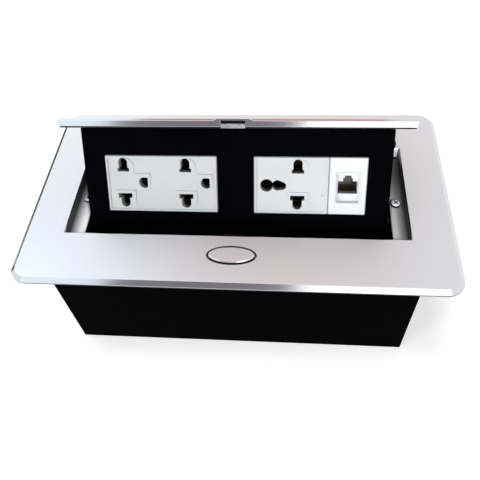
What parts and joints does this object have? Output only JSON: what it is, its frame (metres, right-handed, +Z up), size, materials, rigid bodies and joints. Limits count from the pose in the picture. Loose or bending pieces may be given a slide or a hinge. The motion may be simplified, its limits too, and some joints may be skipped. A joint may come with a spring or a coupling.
{
  "type": "pop-up desk socket",
  "caption": "Desk socket: silver frame with push button, hinged lid and tilting black panel with mains and data outlets, over a black housing.",
  "frame": {"origin": "centre of the frame's underside, in the plane of the desk top", "axes": "+X to the right of the user, +Y away from the user, +Z up out of the desk"},
  "size_m": [0.265, 0.149, 0.1392],
  "materials": {
    "satin_aluminium": "satin anodised, edges polished",
    "black_steel": "gloss black paint on sheet steel",
    "zinc_steel": "zinc plated",
    "spring_steel": "oiled spring steel",
    "shaft_steel": "ground steel",
    "black_rubber": "matte",
    "white_nylon": "matte",
    "dark_plastic": "matte",
    "white_face": "semi-gloss moulded",
    "tray_plastic": "matte",
    "pale_plastic": "matte",
    "brass": "pressed strip",
    "contact_wire": "plated"
  },
  "bodies": {
    "housing": {"bezel": "satin_aluminium", "housing_tub": "black_steel", "tub_rear": "black_steel", "tub_end_left": "black_steel", "tub_end_right": "black_steel", "wall_spacers": "zinc_steel", "side_screws": "zinc_steel", "mains_grommet": "black_rubber", "data_grommet": "black_rubber", "earth_stud": "zinc_steel", "earth_nut": "zinc_steel", "latch_bracket": "zinc_steel", "bracket_screws": "zinc_steel", "latch_spring": "spring_steel", "hinge_shaft": "shaft_steel", "shaft_clips": "spring_steel", "torsion_spring_left": "spring_steel", "torsion_spring_right": "spring_steel", "damper_body": "dark_plastic", "damper_screws": "zinc_steel"},
    "pop_up": {"gear_sector": "white_nylon", "sector_rivets": "zinc_steel", "lid": "satin_aluminium", "lid_screws": "zinc_steel", "striker_leaf": "spring_steel", "striker_rivets": "zinc_steel", "socket_panel": "black_steel", "cheek_left": "black_steel", "cheek_right": "black_steel", "cheek_bushes": "white_nylon", "cheek_screws": "zinc_steel", "rear_cover": "black_steel", "cover_screws": "zinc_steel", "duplex_face": "white_face", "duplex_base": "tray_plastic", "universal_face": "white_face", "universal_base": "tray_plastic", "terminal_screws": "zinc_steel", "data_face": "white_face", "data_jack": "pale_plastic", "jack_contacts": "contact_wire", "duplex_line_contact": "brass", "duplex_earth_contact": "brass", "duplex_neutral_contact": "brass", "universal_line_contact": "brass", "universal_earth_contact": "brass", "universal_neutral_contact": "brass"},
    "button": {"release_button": "satin_aluminium"},
    "latch": {"latch_slider": "zinc_steel"},
    "damper": {"damper_pinion": "white_nylon"}
  },
  "joints": [
    {"name": "pop_up_hinge", "type": "hinge", "parent": "housing", "child": "pop_up", "pos_m": [0, 0.0555, -0.027], "axis": [1, 0, 0], "range_deg": [0, 41.2], "stiffness_Nm_per_rad": 0.25, "springref_deg": -89.95, "deforming": ["torsion_spring_left", "torsion_spring_right", "striker_leaf"]},
    {"name": "button_press", "type": "slide", "parent": "housing", "child": "button", "axis": [0, 0, -1], "range_m": [0, 0.0028], "stiffness_N_per_m": 300, "springref_m": -0.003, "deforming": ["latch_spring"]},
    {"name": "latch_slide", "type": "slide", "parent": "housing", "child": "latch", "axis": [0, -1, 0], "range_m": [0, 0.0028]},
    {"name": "damper_spin", "type": "hinge", "parent": "housing", "child": "damper", "pos_m": [-0.0937, 0.03829, -0.05158], "axis": [1, 0, 0], "range_deg": [-165, 0]}
  ],
  "couplings": [
    {"joint": "damper_spin", "follows": "pop_up_hinge", "ratio": -4},
    {"joint": "latch_slide", "follows": "button_press", "ratio": 1}
  ]
}
